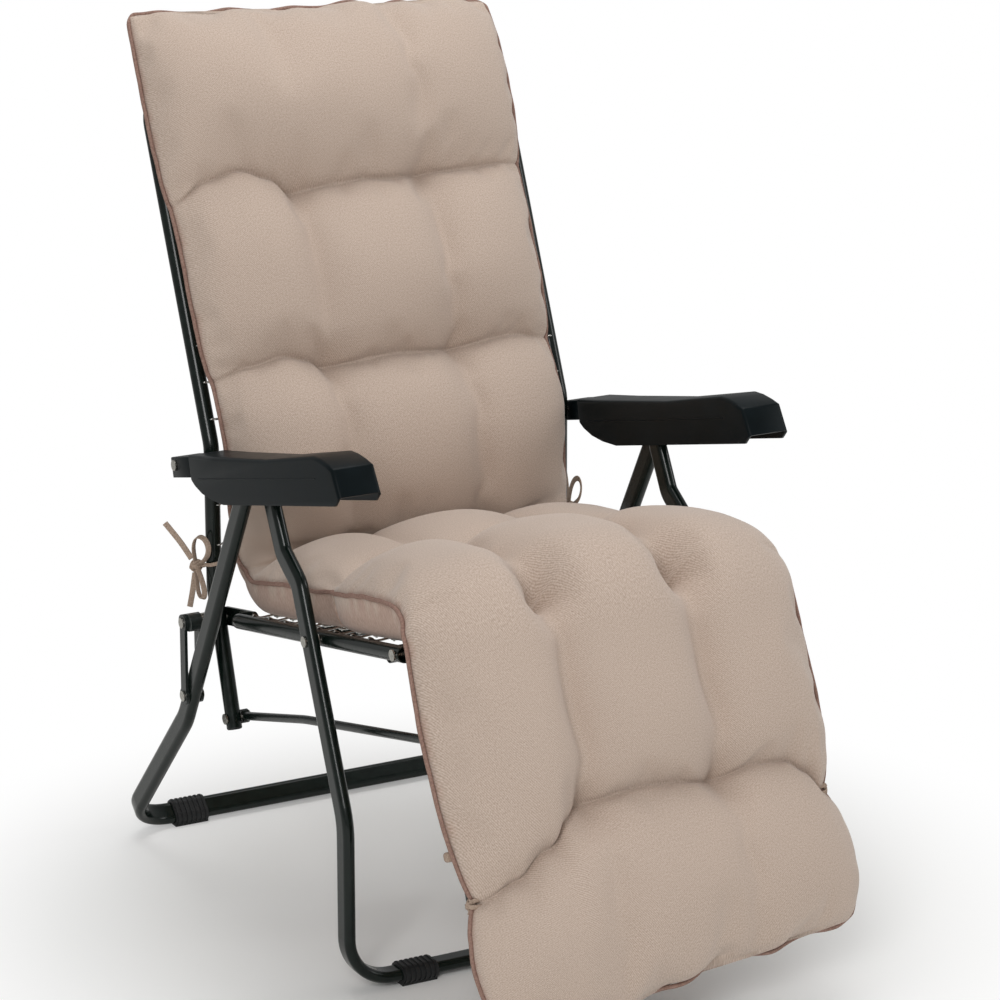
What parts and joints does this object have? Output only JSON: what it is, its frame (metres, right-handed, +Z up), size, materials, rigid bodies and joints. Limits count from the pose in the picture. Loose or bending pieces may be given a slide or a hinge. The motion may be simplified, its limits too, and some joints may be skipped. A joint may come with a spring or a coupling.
{
  "type": "reclining garden armchair",
  "caption": "Reclining, folding garden armchair: tubular steel frame, wire-net seat and back, hollow armrests, linked footrest and a tufted full-length cushion",
  "frame": {"origin": "on the floor, below the middle of the chair's box at rest", "axes": "+Z up, the sitter faces -Y, +X to the sitter's left"},
  "size_m": [0.616, 1.0013, 1.093],
  "materials": {
    "frame_paint": "gloss paint",
    "plated_steel": "zinc plated",
    "dark_steel": "gloss paint",
    "net_wire": "bright plated wire",
    "armrest_plastic": "satin",
    "foot_plastic": "satin, ribbed",
    "cushion_fabric": "plain weave",
    "tie_ribbon": "plain weave ribbon"
  },
  "bodies": {
    "front_legs": {"front_leg_frame": "frame_paint", "front_foot_right": "foot_plastic", "front_foot_left": "foot_plastic", "leg_top_pins": "plated_steel", "leg_top_bushes": "plated_steel", "seat_pivot_rivets": "plated_steel", "seat_pivot_washers": "plated_steel"},
    "rear_legs": {"rear_leg_frame": "frame_paint", "rear_foot_right": "foot_plastic", "rear_foot_left": "foot_plastic", "link_foot_rivets": "plated_steel"},
    "seat": {"seat_frame": "frame_paint", "seat_front_bar": "frame_paint", "seat_net": "net_wire", "back_pivot_pins": "plated_steel", "back_pivot_bushes": "plated_steel", "footrest_pivot_pins": "plated_steel", "footrest_pivot_bushes": "plated_steel", "cushion_seat": "cushion_fabric"},
    "links": {"link_plate_inner_right": "dark_steel", "link_plate_inner_left": "dark_steel", "link_plate_outer_right": "dark_steel", "link_plate_outer_left": "dark_steel", "link_spacers": "dark_steel", "link_top_rivets": "plated_steel"},
    "back": {"back_frame": "frame_paint", "back_net_upper": "net_wire", "back_net_lower": "net_wire", "lever_plugs": "foot_plastic", "rod_rear_rivets": "plated_steel", "cushion_back": "cushion_fabric", "tie_bow_right": "tie_ribbon", "tie_bow_left": "tie_ribbon", "tie_tail_upper_right": "tie_ribbon", "tie_tail_upper_left": "tie_ribbon", "tie_tail_lower_right": "tie_ribbon", "tie_tail_lower_left": "tie_ribbon"},
    "push_rods": {"push_rod_right": "frame_paint", "push_rod_left": "frame_paint", "rod_front_rivets": "plated_steel"},
    "footrest": {"footrest_frame": "frame_paint", "footrest_net": "net_wire", "rod_bracket_pins": "plated_steel", "cushion_footrest": "cushion_fabric", "footrest_tie_right": "tie_ribbon", "footrest_tie_left": "tie_ribbon"},
    "arm_pins": {"arm_pivot_rivets": "plated_steel", "arm_stay_right": "dark_steel", "arm_stay_left": "dark_steel"},
    "armrests": {"armrest_right": "armrest_plastic", "armrest_left": "armrest_plastic", "arm_rack_right": "dark_steel", "arm_rack_left": "dark_steel"}
  },
  "joints": [
    {"name": "leg_fold", "type": "hinge", "parent": "front_legs", "child": "rear_legs", "pos_m": [0, 0.0706, 0.612], "axis": [-1, 0, 0], "range_deg": [0, 20]},
    {"name": "seat_swing", "type": "hinge", "parent": "front_legs", "child": "seat", "pos_m": [0, -0.04972, 0.4285], "axis": [-1, 0, 0], "range_deg": [0, 20]},
    {"name": "link_swing", "type": "hinge", "parent": "rear_legs", "child": "links", "pos_m": [0, 0.26252, 0.266], "axis": [-1, 0, 0], "range_deg": [0, 46]},
    {"name": "recline", "type": "hinge", "parent": "seat", "child": "back", "pos_m": [0, 0.26189, 0.3651], "axis": [-1, 0, 0], "range_deg": [0, 35]},
    {"name": "rod_swing", "type": "hinge", "parent": "back", "child": "push_rods", "pos_m": [0, 0.22359, 0.23983], "axis": [-1, 0, 0], "range_deg": [-34, 0]},
    {"name": "footrest_lift", "type": "hinge", "parent": "seat", "child": "footrest", "pos_m": [0, -0.25257, 0.46977], "axis": [-1, 0, 0], "range_deg": [0, 51]},
    {"name": "arm_level", "type": "hinge", "parent": "back", "child": "arm_pins", "pos_m": [0, 0.27359, 0.572], "axis": [-1, 0, 0], "range_deg": [-34, 0]},
    {"name": "arm_fold", "type": "hinge", "parent": "arm_pins", "child": "armrests", "pos_m": [0, 0.27359, 0.572], "axis": [-1, 0, 0], "range_deg": [0, 6.5]}
  ],
  "couplings": [
    {"joint": "seat_swing", "follows": "leg_fold", "ratio": 0.987},
    {"joint": "link_swing", "follows": "leg_fold", "ratio": 2.252},
    {"joint": "rod_swing", "follows": "recline", "ratio": -0.926},
    {"joint": "footrest_lift", "follows": "recline", "ratio": 1.43},
    {"joint": "arm_fold", "follows": "leg_fold", "ratio": 0.3},
    {"joint": "arm_level", "follows": "recline", "ratio": -0.933}
  ]
}
